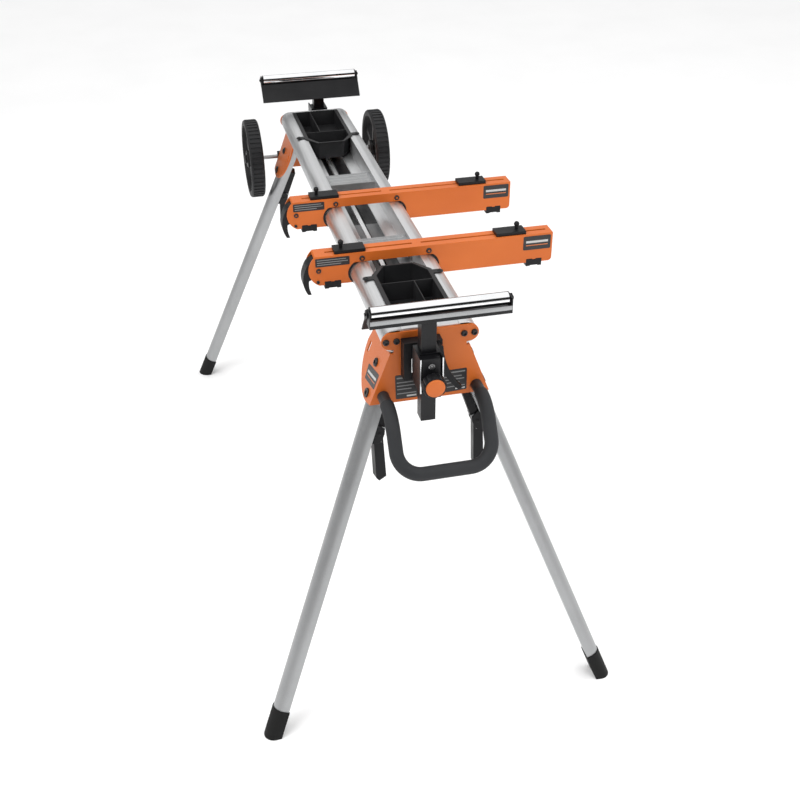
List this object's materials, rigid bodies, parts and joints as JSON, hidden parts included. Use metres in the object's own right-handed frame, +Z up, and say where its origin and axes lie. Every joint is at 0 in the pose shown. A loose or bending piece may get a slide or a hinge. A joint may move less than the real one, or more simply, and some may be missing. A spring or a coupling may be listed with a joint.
{
  "type": "mitre saw stand",
  "caption": "Folding mitre saw stand: aluminium bed, folding legs, sliding mounting arms, telescopic roller supports, parts trays, transport wheels and carry handle.",
  "frame": {"origin": "on the floor, under the middle of the bed", "axes": "+X along the bed towards the carry handle, +Y across it away from the user, +Z up"},
  "size_m": [1.4804, 0.7376, 0.907],
  "materials": {
    "rail_aluminium": "satin anodised extrusion",
    "leg_aluminium": "satin anodised tube",
    "grey_steel": "plated sheet steel",
    "dark_tube": "semi-gloss black paint",
    "orange_steel": "satin orange powder coat",
    "black_plastic": "moulded, fine texture",
    "black_rubber": "moulded rubber",
    "wheel_plastic": "moulded with a ribbed tread",
    "grip_foam": "foam grip",
    "handle_paint": "dark grey powder coat",
    "roller_chrome": "polished",
    "fastener_steel": "black oxide",
    "axle_steel": "zinc plated",
    "knob_plastic": "knurled black knob with an orange cap"
  },
  "bodies": {
    "bed": {"rail_front": "rail_aluminium", "rail_rear": "rail_aluminium", "centre_spine": "rail_aluminium", "cross_member_handle": "grey_steel", "cross_member_wheel": "grey_steel", "tube_guides": "grey_steel", "bracket_handle": "orange_steel", "bracket_wheel": "orange_steel", "tray_handle": "black_plastic", "tray_wheel": "black_plastic", "tray_screws": "fastener_steel", "bracket_bolts": "fastener_steel", "pivot_bolts": "fastener_steel", "lock_bushes": "fastener_steel", "end_trims": "rail_aluminium", "carry_handle": "handle_paint", "handle_grip": "grip_foam", "axle": "axle_steel", "axle_saddles": "black_plastic", "lock_housings": "black_plastic"},
    "leg_handle_front": {"leg_handle_front": "leg_aluminium", "foot_handle_front": "black_rubber"},
    "release_handle_front": {"release_lever_handle_front": "black_plastic"},
    "leg_handle_rear": {"leg_handle_rear": "leg_aluminium", "foot_handle_rear": "black_rubber"},
    "release_handle_rear": {"release_lever_handle_rear": "black_plastic"},
    "extension_handle": {"extension_tube_handle": "dark_tube", "post_clamp_handle": "grey_steel"},
    "extension_lock_handle": {"extension_lock_handle": "black_plastic"},
    "post_handle": {"post_handle": "dark_tube", "roller_bracket_handle": "dark_tube"},
    "clamp_knob_handle": {"clamp_knob_handle": "knob_plastic"},
    "roller_handle": {"roller_handle": "roller_chrome"},
    "stop_handle": {"stop_handle": "black_plastic"},
    "leg_wheel_rear": {"leg_wheel_rear": "leg_aluminium", "foot_wheel_rear": "black_rubber"},
    "release_wheel_rear": {"release_lever_wheel_rear": "black_plastic"},
    "leg_wheel_front": {"leg_wheel_front": "leg_aluminium", "foot_wheel_front": "black_rubber"},
    "release_wheel_front": {"release_lever_wheel_front": "black_plastic"},
    "extension_wheel": {"extension_tube_wheel": "dark_tube", "post_clamp_wheel": "grey_steel"},
    "extension_lock_wheel": {"extension_lock_wheel": "black_plastic"},
    "post_wheel": {"post_wheel": "dark_tube", "roller_bracket_wheel": "dark_tube"},
    "clamp_knob_wheel": {"clamp_knob_wheel": "knob_plastic"},
    "roller_wheel": {"roller_wheel": "roller_chrome"},
    "stop_wheel": {"stop_wheel": "black_plastic"},
    "wheel_front": {"wheel_front": "wheel_plastic"},
    "wheel_rear": {"wheel_rear": "wheel_plastic"},
    "arm_handle": {"arm_handle": "orange_steel", "arm_pads_handle": "black_rubber"},
    "arm_lever_handle": {"arm_lever_handle": "black_plastic"},
    "saddle_handle_front": {"saddle_handle_front": "black_plastic"},
    "saddle_handle_rear": {"saddle_handle_rear": "black_plastic"},
    "arm_wheel": {"arm_wheel": "orange_steel", "arm_pads_wheel": "black_rubber"},
    "arm_lever_wheel": {"arm_lever_wheel": "black_plastic"},
    "saddle_wheel_front": {"saddle_wheel_front": "black_plastic"},
    "saddle_wheel_rear": {"saddle_wheel_rear": "black_plastic"}
  },
  "joints": [
    {"name": "leg_fold_handle_front", "type": "hinge", "parent": "bed", "child": "leg_handle_front", "pos_m": [0.555, -0.08832, 0.737], "axis": [0, 0.9345, -0.3561], "range_deg": [0, 101.8]},
    {"name": "release_squeeze_handle_front", "type": "hinge", "parent": "leg_handle_front", "child": "release_handle_front", "pos_m": [0.58158, -0.09635, 0.60388], "axis": [-0.9789, -0.0728, -0.1911], "range_deg": [0, 10], "stiffness_Nm_per_rad": 1.2, "springref_deg": -20.05},
    {"name": "leg_fold_handle_rear", "type": "hinge", "parent": "bed", "child": "leg_handle_rear", "pos_m": [0.555, 0.08832, 0.737], "axis": [0, 0.9345, 0.3561], "range_deg": [0, 101.8]},
    {"name": "release_squeeze_handle_rear", "type": "hinge", "parent": "leg_handle_rear", "child": "release_handle_rear", "pos_m": [0.58158, 0.09635, 0.60388], "axis": [0.9789, -0.0728, 0.1911], "range_deg": [0, 10], "stiffness_Nm_per_rad": 1.2, "springref_deg": -20.05},
    {"name": "extension_slide_handle", "type": "slide", "parent": "bed", "child": "extension_handle", "axis": [1, 0, 0], "range_m": [0, 0.42]},
    {"name": "extension_lock_turn_handle", "type": "hinge", "parent": "bed", "child": "extension_lock_handle", "pos_m": [0.627, 0.008, 0.797], "axis": [1, 0, 0], "range_deg": [0, 70]},
    {"name": "post_lift_handle", "type": "slide", "parent": "extension_handle", "child": "post_handle", "axis": [0, 0, 1], "range_m": [-0.03, 0.06]},
    {"name": "clamp_knob_turn_handle", "type": "hinge", "parent": "extension_handle", "child": "clamp_knob_handle", "pos_m": [0.687, -0.0215, 0.7695], "axis": [1, 0, 0], "continuous": true},
    {"name": "roller_spin_handle", "type": "hinge", "parent": "post_handle", "child": "roller_handle", "pos_m": [0.657, 0, 0.8955], "axis": [0, 1, 0], "continuous": true},
    {"name": "stop_flip_handle", "type": "hinge", "parent": "post_handle", "child": "stop_handle", "pos_m": [0.657, 0, 0.8955], "axis": [0, 1, 0], "range_deg": [0, 142]},
    {"name": "leg_fold_wheel_rear", "type": "hinge", "parent": "bed", "child": "leg_wheel_rear", "pos_m": [-0.555, 0.08832, 0.737], "axis": [0, -0.9345, -0.3561], "range_deg": [0, 92.8]},
    {"name": "release_squeeze_wheel_rear", "type": "hinge", "parent": "leg_wheel_rear", "child": "release_wheel_rear", "pos_m": [-0.58158, 0.09635, 0.60388], "axis": [0.9789, 0.0728, -0.1911], "range_deg": [0, 10], "stiffness_Nm_per_rad": 1.2, "springref_deg": -20.05},
    {"name": "leg_fold_wheel_front", "type": "hinge", "parent": "bed", "child": "leg_wheel_front", "pos_m": [-0.555, -0.08832, 0.737], "axis": [0, -0.9345, 0.3561], "range_deg": [0, 92.8]},
    {"name": "release_squeeze_wheel_front", "type": "hinge", "parent": "leg_wheel_front", "child": "release_wheel_front", "pos_m": [-0.58158, -0.09635, 0.60388], "axis": [-0.9789, 0.0728, 0.1911], "range_deg": [0, 10], "stiffness_Nm_per_rad": 1.2, "springref_deg": -20.05},
    {"name": "extension_slide_wheel", "type": "slide", "parent": "bed", "child": "extension_wheel", "axis": [-1, 0, 0], "range_m": [0, 0.42]},
    {"name": "extension_lock_turn_wheel", "type": "hinge", "parent": "bed", "child": "extension_lock_wheel", "pos_m": [-0.627, -0.008, 0.797], "axis": [-1, 0, 0], "range_deg": [0, 70]},
    {"name": "post_lift_wheel", "type": "slide", "parent": "extension_wheel", "child": "post_wheel", "axis": [0, 0, 1], "range_m": [-0.03, 0.06]},
    {"name": "clamp_knob_turn_wheel", "type": "hinge", "parent": "extension_wheel", "child": "clamp_knob_wheel", "pos_m": [-0.687, 0.0215, 0.7695], "axis": [-1, 0, 0], "continuous": true},
    {"name": "roller_spin_wheel", "type": "hinge", "parent": "post_wheel", "child": "roller_wheel", "pos_m": [-0.657, 0, 0.8955], "axis": [0, -1, 0], "continuous": true},
    {"name": "stop_flip_wheel", "type": "hinge", "parent": "post_wheel", "child": "stop_wheel", "pos_m": [-0.657, 0, 0.8955], "axis": [0, -1, 0], "range_deg": [0, 142]},
    {"name": "wheel_roll_front", "type": "hinge", "parent": "bed", "child": "wheel_front", "pos_m": [-0.608, 0, 0.704], "axis": [0, 1, 0], "continuous": true},
    {"name": "wheel_roll_rear", "type": "hinge", "parent": "bed", "child": "wheel_rear", "pos_m": [-0.608, 0, 0.704], "axis": [0, 1, 0], "continuous": true},
    {"name": "arm_slide_handle", "type": "slide", "parent": "bed", "child": "arm_handle", "axis": [1, 0, 0], "range_m": [-0.18, 0.02]},
    {"name": "arm_lever_open_handle", "type": "hinge", "parent": "arm_handle", "child": "arm_lever_handle", "pos_m": [0.299, -0.151, 0.815], "axis": [-1, 0, 0], "range_deg": [0, 70]},
    {"name": "saddle_slide_handle_front", "type": "slide", "parent": "arm_handle", "child": "saddle_handle_front", "axis": [0, 1, 0], "range_m": [-0.022, 0.095]},
    {"name": "saddle_slide_handle_rear", "type": "slide", "parent": "arm_handle", "child": "saddle_handle_rear", "axis": [0, 1, 0], "range_m": [-0.15, 0.05]},
    {"name": "arm_slide_wheel", "type": "slide", "parent": "bed", "child": "arm_wheel", "axis": [1, 0, 0], "range_m": [-0.3, 0.05]},
    {"name": "arm_lever_open_wheel", "type": "hinge", "parent": "arm_wheel", "child": "arm_lever_wheel", "pos_m": [0.025, -0.151, 0.815], "axis": [-1, 0, 0], "range_deg": [0, 70]},
    {"name": "saddle_slide_wheel_front", "type": "slide", "parent": "arm_wheel", "child": "saddle_wheel_front", "axis": [0, 1, 0], "range_m": [-0.022, 0.095]},
    {"name": "saddle_slide_wheel_rear", "type": "slide", "parent": "arm_wheel", "child": "saddle_wheel_rear", "axis": [0, 1, 0], "range_m": [-0.15, 0.05]}
  ]
}
